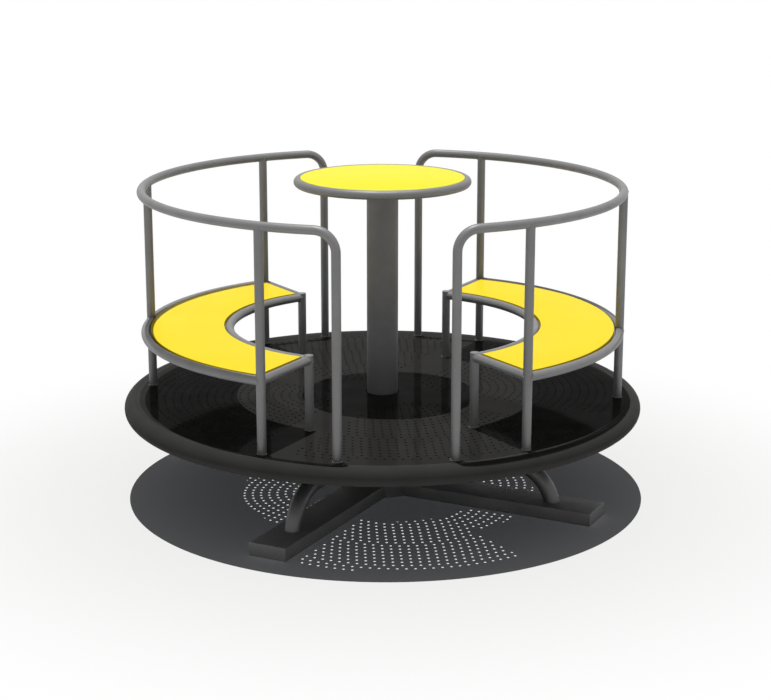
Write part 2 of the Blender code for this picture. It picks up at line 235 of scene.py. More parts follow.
class Shading:
    """A material's node tree, built by name."""

    def __init__(self, name):
        self.material = bpy.data.materials.get(name)
        self.fresh = self.material is None
        if self.fresh:
            self.material = bpy.data.materials.new(name)
            self.material.use_nodes = True
            self.tree = self.material.node_tree
            self.shader = self.tree.nodes["Principled BSDF"]
            self.place = self.add("ShaderNodeTexCoord").outputs["Object"]

    def add(self, kind, **settings):
        node = self.tree.nodes.new(kind)
        for key, value in settings.items():
            setattr(node, key, value)
        return node

    def link(self, source, target):
        self.tree.links.new(source, target)

    def noise(self, scale, detail=4.0, roughness=0.5, stretch=None):
        node = self.add("ShaderNodeTexNoise")
        node.inputs["Scale"].default_value = scale
        node.inputs["Detail"].default_value = detail
        node.inputs["Roughness"].default_value = roughness
        if stretch is None:
            self.link(self.place, node.inputs["Vector"])
        else:
            mapping = self.add("ShaderNodeMapping")
            mapping.inputs["Scale"].default_value = stretch
            self.link(self.place, mapping.inputs["Vector"])
            self.link(mapping.outputs["Vector"], node.inputs["Vector"])
        return node.outputs["Fac"]

    def ramp(self, source, stops):
        """stops are (position, grey or colour) pairs."""
        node = self.add("ShaderNodeValToRGB")
        ends = node.color_ramp.elements
        while len(ends) < len(stops):
            ends.new(0.5)
        for element, (position, colour) in zip(ends, stops):
            element.position = position
            element.color = (*colour, 1.0) if isinstance(colour, tuple) else (colour, colour, colour, 1.0)
        self.link(source, node.inputs["Fac"])
        return node.outputs["Color"]

    def mix(self, share, first, second):
        node = self.add("ShaderNodeMix", data_type="RGBA")
        for value, socket in ((share, node.inputs[0]), (first, node.inputs[6]), (second, node.inputs[7])):
            if isinstance(value, bpy.types.NodeSocket):
                self.link(value, socket)
            elif isinstance(value, float):
                socket.default_value = value
            else:
                socket.default_value = (*value, 1.0)
        return node.outputs[2]

    def sums(self, operation, first, second):
        node = self.add("ShaderNodeMath", operation=operation)
        for value, socket in ((first, node.inputs[0]), (second, node.inputs[1])):
            if isinstance(value, bpy.types.NodeSocket):
                self.link(value, socket)
            else:
                socket.default_value = value
        return node.outputs[0]

    def bump(self, height, distance, strength=1.0):
        node = self.add("ShaderNodeBump")
        node.inputs["Strength"].default_value = strength
        node.inputs["Distance"].default_value = distance
        self.link(height, node.inputs["Height"])
        self.link(node.outputs["Normal"], self.shader.inputs["Normal"])


def coat(name, colour, metallic, roughness, specular, wear):
    """Powder coat: a fine orange-peel skin, faint cloudy gloss, and dust and rub marks of a lighter tone."""
    made = Shading(name)
    if not made.fresh:
        return made.material
    worn = tuple(min(1.0, channel * 1.35 + 0.012) for channel in colour)
    dull = tuple(channel * 0.86 for channel in colour)
    clouds = made.noise(5.0, 5.0, 0.6)
    flecks = made.noise(60.0, 6.0, 0.7)
    base = made.mix(made.ramp(clouds, ((0.35, 0.0), (0.7, 1.0))), colour, dull)
    marks = made.sums("MULTIPLY", made.ramp(flecks, ((0.6, 0.0), (0.78, 1.0))), wear)
    made.link(made.mix(marks, base, worn), made.shader.inputs["Base Color"])
    gloss = made.ramp(made.noise(11.0, 4.0, 0.6), ((0.3, roughness * 0.85), (0.75, roughness * 1.2)))
    made.link(gloss, made.shader.inputs["Roughness"])
    made.shader.inputs["Metallic"].default_value = metallic
    made.shader.inputs["Specular IOR Level"].default_value = specular
    peel = made.noise(380.0, 2.0, 0.5)
    made.bump(peel, 0.00012, 0.35)
    return made.material


def grey_coat():
    return coat("grey_powder_coat", tuple(finishes().grey), 0.35, 0.5, 0.3, 0.25)


# Painted shade: the tubes' grey coat made darker for the shade on the column.
def shaded_column_coat():
    return coat("column_shaded_powder_coat", tuple(finishes().column_shaded_grey), 0.45, 0.55, 0.25, 0.25)


def stay_coat():
    return coat("stay_powder_coat", tuple(finishes().stay_grey), 0.7, 0.5, 0.3, 0.3)


# Painted light: the base coat made lighter for the light that falls on the beams.
def lit_beam_coat():
    return coat("beam_lit_powder_coat", tuple(finishes().beam_lit_grey), 0.6, 0.65, 0.2, 0.3)


def black_coat():
    return coat("black_powder_coat", tuple(finishes().black), 0.0, 0.5, 0.006, 0.12)


def deck_coat():
    """A satin black coat under a thin glossy skin."""
    material = coat("deck_black_coat", tuple(finishes().deck), 0.0, 0.75, 0.008, 0.1)
    shader = material.node_tree.nodes["Principled BSDF"]
    shader.inputs["Coat Weight"].default_value = 0.095
    shader.inputs["Coat Roughness"].default_value = 0.06
    shader.inputs["Coat IOR"].default_value = 1.12
    return material


def board_plastic(name, colour):
    """Solid coloured plastic board with a fine matt grain; its underside is painted dark warm grey as painted
    shade.
    """
    made = Shading(name)
    if not made.fresh:
        return made.material
    deep = (colour[0] * 0.97, colour[1] * 0.96, colour[2] * 0.9)
    clouds = made.noise(3.0, 4.0, 0.55)
    top = made.mix(made.ramp(clouds, ((0.3, 0.0), (0.75, 1.0))), colour, deep)
    # Painted shade: faces that point down take the dark warm grey instead of the board's yellow.
    facing = made.add("ShaderNodeSeparateXYZ")
    made.link(made.add("ShaderNodeTexCoord").outputs["Normal"], facing.inputs[0])
    below = made.sums("LESS_THAN", facing.outputs["Z"], -0.5)
    made.link(made.mix(below, top, PAINTED_SHADE_UNDERSIDE), made.shader.inputs["Base Color"])
    scuffs = made.noise(26.0, 5.0, 0.65, stretch=(1.0, 3.0, 1.0))
    made.link(made.ramp(scuffs, ((0.3, 0.4), (0.8, 0.55))), made.shader.inputs["Roughness"])
    made.shader.inputs["Specular IOR Level"].default_value = 0.04
    made.bump(made.noise(700.0, 3.0, 0.6), 0.00015, 0.4)
    return made.material


def seat_plastic():
    return board_plastic("seat_yellow_plastic", tuple(finishes().seat_yellow))


# Painted light: the same yellow plastic as the seats, in a lighter colour for the light on the table.
def lit_table_plastic():
    return board_plastic("table_yellow_plastic", tuple(finishes().table_lit_yellow))


# Geometry Nodes


class Growth:
    """A Geometry Nodes tree with named inputs, built by name."""

    def __init__(self, name, inputs):
        self.tree = bpy.data.node_groups.new(name, "GeometryNodeTree")
        face = self.tree.interface
        face.new_socket("Geometry", in_out="INPUT", socket_type="NodeSocketGeometry")
        for label, kind, default in inputs:
            socket = face.new_socket(label, in_out="INPUT", socket_type=kind)
            if default is not None:
                socket.default_value = default
        face.new_socket("Geometry", in_out="OUTPUT", socket_type="NodeSocketGeometry")
        self.given = self.tree.nodes.new("NodeGroupInput").outputs
        self.result = self.tree.nodes.new("NodeGroupOutput").inputs[0]

    def add(self, kind, links=None, values=None, **settings):
        """A node with its settings, the sockets linked to its inputs, and its inputs' own values."""
        node = self.tree.nodes.new(kind)
        for key, value in settings.items():
            setattr(node, key, value)
        for key, source in (links or {}).items():
            self.tree.links.new(source, node.inputs[key])
        for key, value in (values or {}).items():
            node.inputs[key].default_value = value
        return node

    def end(self, geometry):
        """Real geometry with the material on it, as the tree's result."""
        real = self.add("GeometryNodeRealizeInstances", {0: geometry})
        dressed = self.add(
            "GeometryNodeSetMaterial", {"Geometry": real.outputs[0], "Material": self.given["Material"]}
        )
        self.tree.links.new(dressed.outputs[0], self.result)


def tube_growth():
    """A round tube, capped at its ends, along each of an object's curves."""
    made = Growth(
        "round_tube",
        (
            ("Radius", "NodeSocketFloat", 0.0165),
            ("Sides", "NodeSocketInt", 32),
            ("Material", "NodeSocketMaterial", None),
        ),
    )
    circle = made.add(
        "GeometryNodeCurvePrimitiveCircle",
        {"Resolution": made.given["Sides"], "Radius": made.given["Radius"]},
    )
    skin = made.add(
        "GeometryNodeCurveToMesh",
        {"Curve": made.given["Geometry"], "Profile Curve": circle.outputs[0]},
        {"Fill Caps": True},
    )
    made.end(skin.outputs[0])
    return made.tree


def bead_growth():
    """A weld bead along each of an object's curves, with the small even swells of its run."""
    made = Growth(
        "weld_bead",
        (
            ("Radius", "NodeSocketFloat", 0.0022),
            ("Swell length", "NodeSocketFloat", 0.005),
            ("Material", "NodeSocketMaterial", None),
        ),
    )
    step = made.add("ShaderNodeMath", {0: made.given["Swell length"]}, {1: 0.5}, operation="MULTIPLY")
    path = made.add(
        "GeometryNodeResampleCurve", {"Curve": made.given["Geometry"], "Length": step.outputs[0]}, mode="LENGTH"
    )
    index = made.add("GeometryNodeInputIndex")
    odd = made.add("ShaderNodeMath", {0: index.outputs[0]}, {1: 2.0}, operation="MODULO")
    width = made.add("ShaderNodeMath", {0: odd.outputs[0]}, {1: 0.18, 2: 0.91}, operation="MULTIPLY_ADD")
    waved = made.add(
        "GeometryNodeSetCurveRadius", {"Curve": path.outputs[0], "Radius": width.outputs[0]}
    )
    circle = made.add("GeometryNodeCurvePrimitiveCircle", {"Radius": made.given["Radius"]}, {"Resolution": 8})
    skin = made.add(
        "GeometryNodeCurveToMesh",
        {"Curve": waved.outputs[0], "Profile Curve": circle.outputs[0], "Scale": width.outputs[0]},
        {"Fill Caps": True},
    )
    made.end(skin.outputs[0])
    return made.tree


def perforated_plate_growth():
    """A plate made of the object's closed loops, with a hole at each of its loose vertices.

    Each loop and each loose vertex has the number of its strip in the attribute "strip", and each strip is
    filled for itself.
    """
    made = Growth(
        "perforated_plate",
        (
            ("Hole radius", "NodeSocketFloat", 0.0047),
            ("Hole sides", "NodeSocketInt", 10),
            ("Thickness", "NodeSocketFloat", 0.005),
            ("Material", "NodeSocketMaterial", None),
        ),
    )
    strip = made.add("GeometryNodeInputNamedAttribute", None, {"Name": "strip"}, data_type="INT").outputs[0]
    neighbours = made.add("GeometryNodeInputMeshVertexNeighbors").outputs["Vertex Count"]
    parted = made.add(
        "GeometryNodeSeparateGeometry",
        {"Geometry": made.given["Geometry"], "Selection": neighbours},
        domain="POINT",
    )
    loops = made.add("GeometryNodeMeshToCurve", {0: parted.outputs["Selection"]})
    hole = made.add(
        "GeometryNodeCurvePrimitiveCircle",
        {"Resolution": made.given["Hole sides"], "Radius": made.given["Hole radius"]},
    )
    middles = parted.outputs["Inverted"]
    holes = made.add("GeometryNodeInstanceOnPoints", {"Points": middles, "Instance": hole.outputs[0]})
    circles = made.add("GeometryNodeRealizeInstances", {0: holes.outputs[0]})
    place = made.add("GeometryNodeInputPosition")
    middle = made.add(
        "GeometryNodeFieldOnDomain", {"Value": place.outputs[0]}, domain="CURVE", data_type="FLOAT_VECTOR"
    )
    nearest = made.add("GeometryNodeSampleNearest", {"Geometry": middles, "Sample Position": middle.outputs[0]})
    own_strip = made.add(
        "GeometryNodeSampleIndex",
        {"Geometry": middles, "Value": strip, "Index": nearest.outputs[0]},
        data_type="INT",
        domain="POINT",
    )
    outlines = made.add("GeometryNodeJoinGeometry")
    for curves, number in ((circles.outputs[0], own_strip.outputs[0]), (loops.outputs[0], strip)):
        stored = made.add(
            "GeometryNodeStoreNamedAttribute",
            {"Geometry": curves, "Value": number},
            {"Name": "fill_strip"},
            data_type="INT",
            domain="CURVE",
        )
        made.tree.links.new(stored.outputs[0], outlines.inputs[0])
    group = made.add("GeometryNodeInputNamedAttribute", None, {"Name": "fill_strip"}, data_type="INT")
    sheet = made.add("GeometryNodeFillCurve", {"Curve": outlines.outputs[0], "Group ID": group.outputs[0]})
    whole = made.add("GeometryNodeMergeByDistance", {0: sheet.outputs[0]}, {"Distance": 0.00001})
    walls = made.add(
        "GeometryNodeExtrudeMesh",
        {"Mesh": whole.outputs[0], "Offset Scale": made.given["Thickness"]},
        {"Individual": False},
        mode="FACES",
    )
    under = made.add("GeometryNodeFlipFaces", {0: whole.outputs[0]})
    both = made.add("GeometryNodeJoinGeometry")
    made.tree.links.new(walls.outputs[0], both.inputs[0])
    made.tree.links.new(under.outputs[0], both.inputs[0])
    plate = made.add("GeometryNodeMergeByDistance", {0: both.outputs[0]}, {"Distance": 0.00001})
    made.end(plate.outputs[0])
    return made.tree


def bolt_growth():
    """A low domed bolt head at each vertex of the object."""
    made = Growth(
        "domed_bolts",
        (
            ("Head radius", "NodeSocketFloat", 0.007),
            ("Head height", "NodeSocketFloat", 0.004),
            ("Material", "NodeSocketMaterial", None),
        ),
    )
    ball = made.add(
        "GeometryNodeMeshUVSphere", {"Radius": made.given["Head radius"]}, {"Segments": 12, "Rings": 8}
    )
    squash = made.add(
        "ShaderNodeMath", {0: made.given["Head height"], 1: made.given["Head radius"]}, operation="DIVIDE"
    )
    shape = made.add("ShaderNodeCombineXYZ", {2: squash.outputs[0]}, {0: 1.0, 1: 1.0})
    heads = made.add(
        "GeometryNodeInstanceOnPoints",
        {"Points": made.given["Geometry"], "Instance": ball.outputs[0], "Scale": shape.outputs[0]},
    )
    made.end(heads.outputs[0])
    return made.tree


def grow(name, source, tree, values):
    """The plain mesh that a tree makes from source data (a curve or a mesh), as a new object."""
    start = bpy.data.objects.new(name + "_source", source)
    bpy.context.scene.collection.objects.link(start)
    modifier = start.modifiers.new("growth", "NODES")
    modifier.node_group = tree
    for item in tree.interface.items_tree:
        if item.item_type == "SOCKET" and item.in_out == "INPUT" and item.name in values:
            modifier[item.identifier] = values[item.name]
    bpy.context.view_layer.update()
    graph = bpy.context.evaluated_depsgraph_get()
    mesh = bpy.data.meshes.new_from_object(start.evaluated_get(graph))
    bpy.data.objects.remove(start, do_unlink=True)
    mesh.name = name
    return finished(name, mesh, values["Material"])


def finished(name, mesh, material, sharp=35.0):
    """The object of a finished mesh, smooth but for its sharp edges."""
    if not mesh.materials or mesh.materials[0] is not material:
        mesh.materials.clear()
        mesh.materials.append(material)
    mesh.shade_smooth()
    mesh.set_sharp_from_angle(angle=math.radians(sharp))
    piece = bpy.data.objects.new(name, mesh)
    bpy.context.scene.collection.objects.link(piece)
    return piece


def paths_of(routes, closed=False):
    """A curve that holds each route, a list of points, as a spline."""
    curve = bpy.data.curves.new("routes", "CURVE")
    curve.dimensions = "3D"
    for route in routes:
        spline = curve.splines.new("POLY")
        spline.points.add(len(route) - 1)
        for point, place in zip(spline.points, route):
            point.co = (*place, 1.0)
        spline.use_cyclic_u = closed
    return curve


def settle(piece, body, slot, *nodes):
    """Puts a finished piece on its body and hides the solids that it stands for; the slot argument is not used."""
    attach(piece, body)
    if nodes:
        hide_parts(*nodes)
    return piece


def tubes(name, routes, radius, material, closed=False):
    return grow(
        name,
        paths_of(routes, closed),
        tube_growth(),
        {"Radius": radius, "Sides": sizes().tube_sides, "Material": material},
    )


def beads(name, routes, material, closed=True):
    return grow(
        name,
        paths_of(routes, closed),
        bead_growth(),
        {"Radius": sizes().bead_radius, "Swell length": 0.005, "Material": material},
    )


# Shapes


def shape_mesh(name, shape):
    bmesh.ops.remove_doubles(shape, verts=shape.verts, dist=0.000001)
    bmesh.ops.recalc_face_normals(shape, faces=shape.faces)
    mesh = bpy.data.meshes.new(name)
    shape.to_mesh(mesh)
    shape.free()
    return mesh


def turned(name, profile, material, centre=(0.0, 0.0), sides=96, closed=False, sharp=35.0):
    """A shape turned about an upright axis from (radius, height) points."""
    shape = bmesh.new()
    points = [shape.verts.new((radius, 0.0, height)) for radius, height in profile]
    pairs = list(zip(points, points[1:]))
    if closed:
        pairs.append((points[-1], points[0]))
    edges = [shape.edges.new(pair) for pair in pairs]
    bmesh.ops.spin(
        shape, geom=points + edges, cent=(0, 0, 0), axis=(0, 0, 1), angle=math.tau, steps=sides
    )
    bmesh.ops.translate(shape, verts=shape.verts, vec=(*centre, 0.0))
    return finished(name, shape_mesh(name, shape), material, sharp)


def round_corner(radius, height, bend, start, count=5):
    """Points of a quarter round on a turned profile; start 0 runs from the top inwards' edge to the side."""
    points = []
    for step in range(count + 1):
        turn = math.radians(start + 90.0 * step / count)
        points.append((radius + bend * math.sin(turn), height + bend * math.cos(turn)))
    return points


def arc(radius, start, end, height, step=2.0):
    count = max(2, round(abs(end - start) / step))
    return [polar(radius, start + (end - start) * i / count, height) for i in range(count + 1)]


def saddle(centre, branch, main, branch_radius, main_radius, count=48):
    """The closed line where a round branch tube meets the skin of a round main tube at a right angle."""
    branch = branch.normalized()
    main = main.normalized()
    across = branch.cross(main)
    route = []
    for step in range(count):
        turn = math.tau * step / count
        side = branch_radius * math.sin(turn)
        reach = math.sqrt(max(main_radius**2 - side**2, 0.0))
        route.append(centre + branch * reach + main * branch_radius * math.cos(turn) + across * side)
    return route


def ring_route(centre, radius, count=48):
    return [
        centre + Vector((radius * math.cos(math.tau * i / count), radius * math.sin(math.tau * i / count), 0.0))
        for i in range(count)
    ]


# Deck and rim

# The deck is perforated in four quarters between its ribs, each in rings about a middle of its own
QUARTER_ANGLES = (-75.0, 15.0, 105.0, 195.0)
QUARTER_MIDDLE = 0.1819
RING_RADIUS_SHIFT = -0.0046
RINGS_IN_GROUP = 7
LAST_STRIP = 22
LAST_RING = 25
# The turn of a group's rings, in degrees from the quarter's right edge and in shares of a hole's step
GROUP_TURNS = ((-0.1, 0.25), (0.4, 0.5), (-0.25, 0.0), (0.0, 0.256))
PERFORATED_RADIUS = 0.894
RIB_HALF_MARGIN = 0.0835
HUB_MARGIN = 0.017
LEG_CLEARANCE = 0.008


def hole_ring_radius(ring):
    return ring * sizes().ring_pitch + RING_RADIUS_SHIFT


def hole_places():
    """The middles of one quarter's drain holes, about the X axis, each with the number of its strip.

    Each ring has six holes more than the ring inside it, and two more again where a new group of seven
    rings starts, so the holes stand in straight columns within a group and the columns slip between groups.
    """
    places = []
    for ring in range(1, LAST_RING + 1):
        group = (ring - 1) // RINGS_IN_GROUP
        count = 6 * ring + 2 * group
        offset, share = GROUP_TURNS[min(group, len(GROUP_TURNS) - 1)]
        start = -15.0 + offset + share * 360.0 / count
        for number in range(count):
            place = polar(hole_ring_radius(ring), start + number * 360.0 / count)
            place.x += QUARTER_MIDDLE
            if place.length > PERFORATED_RADIUS or place.length < HUB_RADIUS + HUB_MARGIN:
                continue
            if (place.x - abs(place.y)) * math.sqrt(0.5) > RIB_HALF_MARGIN:
                places.append((place, min(ring, LAST_STRIP + 1)))
    return places


def quarter_strips(bore):
    """The outlines of one quarter's strips, about the X axis: between two rings of holes, inside and outside.

    Neighbouring strips and quarters share their corner points.
    """
    half = math.sqrt(0.5)
    corner = QUARTER_MIDDLE * half

    def arc_about_middle(ring):
        radius = hole_ring_radius(ring + 0.5)
        reach = corner + math.sqrt(radius**2 - corner**2)
        spread = math.degrees(math.atan2(reach * half, reach * half - QUARTER_MIDDLE))
        count = 64
        points = [polar(radius, spread * (2 * i / count - 1)) for i in range(count + 1)]
        for point in points:
            point.x += QUARTER_MIDDLE
        points[0] = polar(reach, -45.0)
        points[-1] = polar(reach, 45.0)
        return points

    def arc_about_axis(radius):
        return [polar(radius, 90.0 * i / 64 - 45.0) for i in range(65)]

    first = next(
        ring for ring in range(1, LAST_STRIP)
        if hole_ring_radius(ring + 0.5) > QUARTER_MIDDLE + bore
    )
    arcs = {first: arc_about_axis(bore)}
    for ring in range(first, LAST_STRIP + 1):
        arcs[ring + 1] = arc_about_middle(ring)
    arcs[LAST_STRIP + 2] = arc_about_axis(DECK_EDGE)
    return first, {ring: arcs[ring + 1] + arcs[ring][::-1] for ring in range(first, LAST_STRIP + 2)}


def near_a_leg(place):
    """Whether a hole would come under the foot of a seat's inner leg."""
    for _, axis in BENCHES:
        for sign in (-1, 1):
            leg = polar(INNER_RADIUS, axis + sign * SEAT_END_ANGLE + LEG_TURN)
            if (place - leg).length < TUBE_RADIUS + LEG_CLEARANCE:
                return True
    return False


def plate_plan(bore):
    """A mesh of the deck's strips as loops and its holes as loose vertices, with the strip of each."""
    first, strips = quarter_strips(bore)
    points, edges, numbers = [], [], []
    for quarter, degrees in enumerate(QUARTER_ANGLES):
        turn = Matrix.Rotation(math.radians(degrees), 3, "Z")
        for ring, outline in strips.items():
            base = len(points)
            points += [turn @ point for point in outline]
            edges += [(base + i, base + (i + 1) % len(outline)) for i in range(len(outline))]
            numbers += [100 * quarter + ring] * len(outline)
        for place, ring in hole_places():
            turned_place = turn @ place
            if not near_a_leg(turned_place):
                points.append(turned_place)
                numbers.append(100 * quarter + max(ring, first))
    plan = bpy.data.meshes.new("deck_plan")
    plan.from_pydata(points, edges, [])
    plan.attributes.new("strip", "INT", "POINT").data.foreach_set("value", numbers)
    return plan


class CAROUSEL_OT_deck(bpy.types.Operator):
    """Make the perforated deck plate"""

    bl_idname = "carousel.deck"
    bl_label = "Deck plate"

    def execute(self, context):
        bore = min(vertex.co.xy.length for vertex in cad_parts["deck_plate"].data.vertices)
        plate = grow(
            "deck_plate_perforated",
            plate_plan(bore),
            perforated_plate_growth(),
            {
                "Hole radius": sizes().hole_diameter / 2,
                "Hole sides": 10,
                "Thickness": DECK_TOP - DECK_BOTTOM,
                "Material": deck_coat(),
            },
        )
        low = min(corner[2] for corner in plate.bound_box)
        plate.data.transform(Matrix.Translation((0, 0, DECK_BOTTOM - low)))
        settle(plate, "platform", "deck_coating", "deck_plate")
        return {"FINISHED"}


class CAROUSEL_OT_rim(bpy.types.Operator):
    """Make the rim tube round the deck and the seam between the two"""

    bl_idname = "carousel.rim"
    bl_label = "Rim tube"

    def execute(self, context):
        route = arc(RIM_CENTRE_RADIUS, 0.0, 358.75, RIM_HEIGHT, 1.25)
        rim = tubes("rim_tube_round", [route], RIM_TUBE_RADIUS, black_coat(), closed=True)
        settle(rim, "platform", "black_coating", "rim_tube")
        seam = turned("rim_seam", self.seam_profile(), black_coat(), sides=288, closed=True)
        settle(seam, "platform", "black_coating")
        return {"FINISHED"}

    def seam_profile(self):
        """A low weld that fills the groove between the deck's edge and the round of the tube."""
        crown = 0.0008
        depth = 0.004
        overlap = 0.003
        tube_side = RIM_CENTRE_RADIUS - tube_half_width(DECK_TOP, RIM_HEIGHT, RIM_TUBE_RADIUS)
        return [
            (DECK_EDGE - overlap, DECK_TOP - crown),
            (DECK_EDGE - overlap / 2, DECK_TOP + crown / 2),
            ((DECK_EDGE + tube_side) / 2, DECK_TOP + crown),
            (tube_side + overlap / 2, DECK_TOP + crown),
            (tube_side + overlap / 2, DECK_TOP - crown),
            (DECK_EDGE + overlap, DECK_TOP - depth),
        ]


# Benches and rails


def rail_route(axis):
    """Up one end post, round the bench and down the other post."""
    bend = math.degrees(RAIL_BEND_RADIUS / RING_RADIUS)
    arc_end = RAIL_END_ANGLE - bend
    steps = 14
    end = [polar(RING_RADIUS, RAIL_END_ANGLE, DECK_TOP)]
    for step in range(steps):
        turn = math.pi / 2 * (1 - step / steps)
        height = RAIL_HEIGHT - RAIL_BEND_RADIUS * (1 - math.cos(turn))
        end.append(polar(RING_RADIUS, arc_end + bend * math.sin(turn), height))
    middle = arc(RING_RADIUS, arc_end, -arc_end, RAIL_HEIGHT)
    other = [Vector((point.x, -point.y, point.z)) for point in reversed(end)]
    turn_to_bench = Matrix.Rotation(math.radians(axis), 4, "Z")
    return [turn_to_bench @ point for point in end + middle + other]


def end_names(side):
    """Each end's name with the side of the bench's axis that it is on."""
    return (("front", -1), ("back", 1)) if side == "right" else (("front", 1), ("back", -1))


class CAROUSEL_OT_rails(bpy.types.Operator):
    """Make the bent guard rails and the posts under them"""

    bl_idname = "carousel.rails"
    bl_label = "Guard rails"

    def execute(self, context):
        grey = grey_coat()
        for side, axis in BENCHES:
            rail = tubes(f"{side}_guard_rail", [rail_route(axis)], TUBE_RADIUS, grey)
            settle(rail, "platform", "grey_coating", f"{side}_rail")
            for end, sign in end_names(side):
                foot = polar(RING_RADIUS, axis + sign * SEAT_END_ANGLE, DECK_TOP)
                head = foot.copy()
                head.z = RAIL_HEIGHT
                post = tubes(f"{side}_{end}_post", [[foot, head]], TUBE_RADIUS, grey)
                settle(post, "platform", "grey_coating", f"{side}_{end}_corner_post")
            foot = polar(RING_RADIUS, axis + OUTER_POST_ANGLE, DECK_TOP)
            head = foot.copy()
            head.z = RAIL_HEIGHT
            post = tubes(f"{side}_back_rest_post", [[foot, head]], TUBE_RADIUS, grey)
            settle(
                post, "platform", "grey_coating", f"{side}_outer_post_lower", f"{side}_outer_post_upper"
            )
        return {"FINISHED"}


class CAROUSEL_OT_seat_frames(bpy.types.Operator):
    """Make the tube frames of the seats and their capped inner legs"""

    bl_idname = "carousel.seat_frames"
    bl_label = "Seat frames"

    def execute(self, context):
        grey = grey_coat()
        for side, axis in BENCHES:
            low, high = axis - SEAT_END_ANGLE, axis + SEAT_END_ANGLE
            outer = tubes(f"{side}_seat_ring_outer", [arc(RING_RADIUS, low, high, SEAT_HEIGHT)], TUBE_RADIUS, grey)
            settle(outer, "platform", "grey_coating", f"{side}_seat_outer_tube")
            path = arc(INNER_RADIUS, low + LEG_TURN, high + LEG_TURN, SEAT_HEIGHT)
            inner = tubes(f"{side}_seat_ring_inner", [path], TUBE_RADIUS, grey)
            settle(inner, "platform", "grey_coating", f"{side}_seat_inner_tube")
            for end, sign in end_names(side):
                degrees = axis + sign * SEAT_END_ANGLE
                near = polar(INNER_RADIUS, degrees + LEG_TURN, SEAT_HEIGHT)
                far = polar(RING_RADIUS, degrees, SEAT_HEIGHT)
                across = tubes(f"{side}_{end}_seat_end", [[near, far]], TUBE_RADIUS, grey)
                settle(across, "platform", "grey_coating", f"{side}_{end}_seat_end_tube")
                leg = turned(f"{side}_{end}_leg", leg_profile(), grey, centre=(near.x, near.y), sides=32)
                settle(leg, "platform", "grey_coating", f"{side}_{end}_inner_leg")
        return {"FINISHED"}


def leg_profile():
    """A tube leg with a lightly domed cap let into its top."""
    cap = LEG_TOP
    profile = [(0.0, cap), (TUBE_RADIUS * 0.5, cap - 0.0002)]
    profile += round_corner(TUBE_RADIUS - 0.002, cap - 0.0024, 0.002, 0.0, 4)
    profile += [
        (TUBE_RADIUS, cap - 0.0034),
        (TUBE_RADIUS - 0.0005, cap - 0.0037),
        (TUBE_RADIUS - 0.0005, cap - 0.0041),
        (TUBE_RADIUS, cap - 0.0044),
        (TUBE_RADIUS, DECK_TOP),
        (0.0, DECK_TOP),
    ]
    return profile


def tube_half_width(height, centre_height, radius):
    rise = min(abs(height - centre_height), radius)
    return math.sqrt(radius**2 - rise**2)


def board_outline(axis, height, inset):
    """The seat board's outline at a height: an even gap to the rings and to the tubes across its ends."""
    edge = TUBE_RADIUS + sizes().board_gap + inset
    inner = INNER_RADIUS + edge
    outer = RING_RADIUS - edge

    def end_angle(sign, radius):
        """The angle at which the board's end crosses a radius; the end runs along its tube."""
        start = polar(INNER_RADIUS, sign * SEAT_END_ANGLE + LEG_TURN)
        along = (polar(RING_RADIUS, sign * SEAT_END_ANGLE) - start).normalized()
        inwards = Vector((along.y, -along.x, 0.0)) * sign
        start += inwards * edge
        half = start.dot(along)
        reach = -half + math.sqrt(half**2 - start.length_squared + radius**2)
        end = start + along * reach
        return math.degrees(math.atan2(end.y, end.x))

    def along_ring(radius, start, finish, count):
        return [polar(radius, axis + start + (finish - start) * i / count, height) for i in range(count)]

    def along_end(start, finish, sign):
        radii = (start, (start + finish) / 2)
        return [polar(radius, axis + end_angle(sign, radius), height) for radius in radii]

    outline = along_ring(outer, end_angle(-1, outer), end_angle(1, outer), 96)
    outline += along_end(outer, inner, 1)
    outline += along_ring(inner, end_angle(1, inner), end_angle(-1, inner), 72)
    outline += along_end(inner, outer, -1)
    return outline


def stacked(name, outlines, material, sharp=35.0):
    """A closed shape through outlines of equal length, from the lowest to the highest."""
    shape = bmesh.new()
    rows = [[shape.verts.new(point) for point in outline] for outline in outlines]
    count = len(rows[0])
    for low, high in zip(rows, rows[1:]):
        for i in range(count):
            j = (i + 1) % count
            shape.faces.new((low[i], low[j], high[j], high[i]))
    shape.faces.new(list(reversed(rows[0])))
    shape.faces.new(rows[-1])
    bmesh.ops.recalc_face_normals(shape, faces=shape.faces)
    bmesh.ops.triangulate(shape, faces=[face for face in shape.faces if len(face.verts) > 4])
    mesh = bpy.data.meshes.new(name)
    shape.to_mesh(mesh)
    shape.free()
    return finished(name, mesh, material, sharp)


def flat_frame(name, outer, inner, thickness, material):
    """A closed flat ring between two outlines of equal length, this much thick below them."""
    shape = bmesh.new()
    drop = Vector((0.0, 0.0, thickness))
    rows = []
    for outline in (outer, inner):
        rows.append([shape.verts.new(point) for point in outline])
        rows.append([shape.verts.new(point - drop) for point in outline])
    outer_top, outer_bottom, inner_top, inner_bottom = rows
    count = len(outer)
    around = (outer_top, inner_top, inner_bottom, outer_bottom)
    for here, there in zip(around, around[1:] + around[:1]):
        for i in range(count):
            j = (i + 1) % count
            shape.faces.new((here[i], here[j], there[j], there[i]))
    return finished(name, shape_mesh(name, shape), material)


